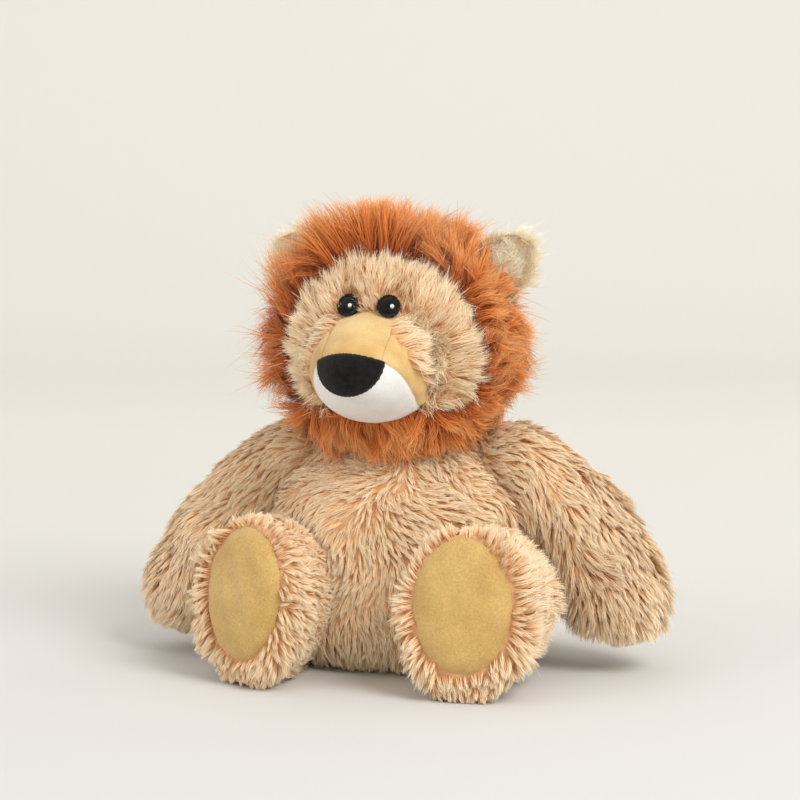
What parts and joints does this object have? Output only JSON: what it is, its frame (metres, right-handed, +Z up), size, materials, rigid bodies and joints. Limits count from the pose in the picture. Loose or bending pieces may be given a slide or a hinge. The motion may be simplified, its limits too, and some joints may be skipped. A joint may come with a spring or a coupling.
{
  "type": "plush hot water bottle",
  "caption": "Seated plush lion with a long-pile mane, suede-soled feet and a pocket behind a back flap that holds a small rubber hot water bottle.",
  "frame": {"origin": "middle of the flat seat under the torso, on the surface that the toy sits on", "axes": "+Z up, the lion faces -Y, its own left side is +X"},
  "size_m": [0.303, 0.2448, 0.252],
  "materials": {
    "fur_tan": "shaggy synthetic fur, pale tips over a reddish brown ground",
    "mane_rust": "long fine straight pile",
    "velour_mustard": "short soft velour",
    "velour_white": "short soft velour",
    "nose_black": "short black pile with a stitched edge",
    "eye_black": "dense black pile, matte",
    "suede_sole": "short napped suede cloth",
    "stuffing": "loose polyester fibre",
    "lining": "plain woven cotton",
    "hook_and_loop": "hook and loop tape",
    "rubber_red": "satin, ribbed",
    "insert_brass": "machined",
    "rubber_black": "matte",
    "stopper_black": "moulded, matte"
  },
  "bodies": {
    "torso": {"torso_cover": "fur_tan", "torso_filling": "stuffing", "pocket_lining": "lining", "loop_strip": "hook_and_loop", "rubber_bottle": "rubber_red", "neck_insert": "insert_brass"},
    "flap": {"back_flap": "fur_tan", "hook_strip": "hook_and_loop"},
    "stopper": {"stopper": "stopper_black", "sealing_washer": "rubber_black"},
    "head": {"mane_hood": "mane_rust", "face_panel": "fur_tan", "head_filling": "stuffing", "muzzle_bridge": "velour_mustard", "muzzle_cheek_left": "velour_mustard", "muzzle_cheek_right": "velour_mustard", "muzzle_filling": "stuffing", "chin_panel": "velour_white", "nose": "nose_black", "eye_left": "eye_black", "eye_right": "eye_black", "ear_left": "fur_tan", "ear_right": "fur_tan"},
    "arm_left": {"arm_left_cover": "fur_tan", "arm_left_filling": "stuffing"},
    "arm_right": {"arm_right_cover": "fur_tan", "arm_right_filling": "stuffing"},
    "leg_left": {"leg_left_cover": "fur_tan", "leg_left_filling": "stuffing", "foot_pad_left": "suede_sole"},
    "leg_right": {"leg_right_cover": "fur_tan", "leg_right_filling": "stuffing", "foot_pad_right": "suede_sole"},
    "tail": {"tail": "fur_tan", "tail_tuft": "mane_rust"}
  },
  "joints": [
    {"name": "head_turn", "type": "hinge", "parent": "torso", "child": "head", "pos_m": [0, -0.016, 0.178], "axis": [0, 0, 1], "range_deg": [-25, 25], "stiffness_Nm_per_rad": 0.05},
    {"name": "arm_left_raise", "type": "hinge", "parent": "torso", "child": "arm_left", "pos_m": [0.062, 0, 0.144], "axis": [0, -1, 0], "range_deg": [0, 60]},
    {"name": "arm_right_raise", "type": "hinge", "parent": "torso", "child": "arm_right", "pos_m": [-0.062, 0, 0.144], "axis": [0, 1, 0], "range_deg": [0, 60]},
    {"name": "leg_left_lift", "type": "hinge", "parent": "torso", "child": "leg_left", "pos_m": [0.062, -0.052, 0.096], "axis": [-1, 0, 0], "range_deg": [0, 30]},
    {"name": "leg_right_lift", "type": "hinge", "parent": "torso", "child": "leg_right", "pos_m": [-0.062, -0.052, 0.096], "axis": [-1, 0, 0], "range_deg": [0, 30]},
    {"name": "tail_swing", "type": "hinge", "parent": "torso", "child": "tail", "pos_m": [0, 0.072, 0.015], "axis": [0, 0, -1], "range_deg": [0, 35]},
    {"name": "flap_open", "type": "hinge", "parent": "torso", "child": "flap", "pos_m": [0, 0.05, 0.118], "axis": [1, 0, 0], "range_deg": [0, 100]},
    {"name": "stopper_turn", "type": "hinge", "parent": "torso", "child": "stopper", "pos_m": [0, 0.027, 0.1], "axis": [0, 0, 1], "range_deg": [0, 720]}
  ]
}
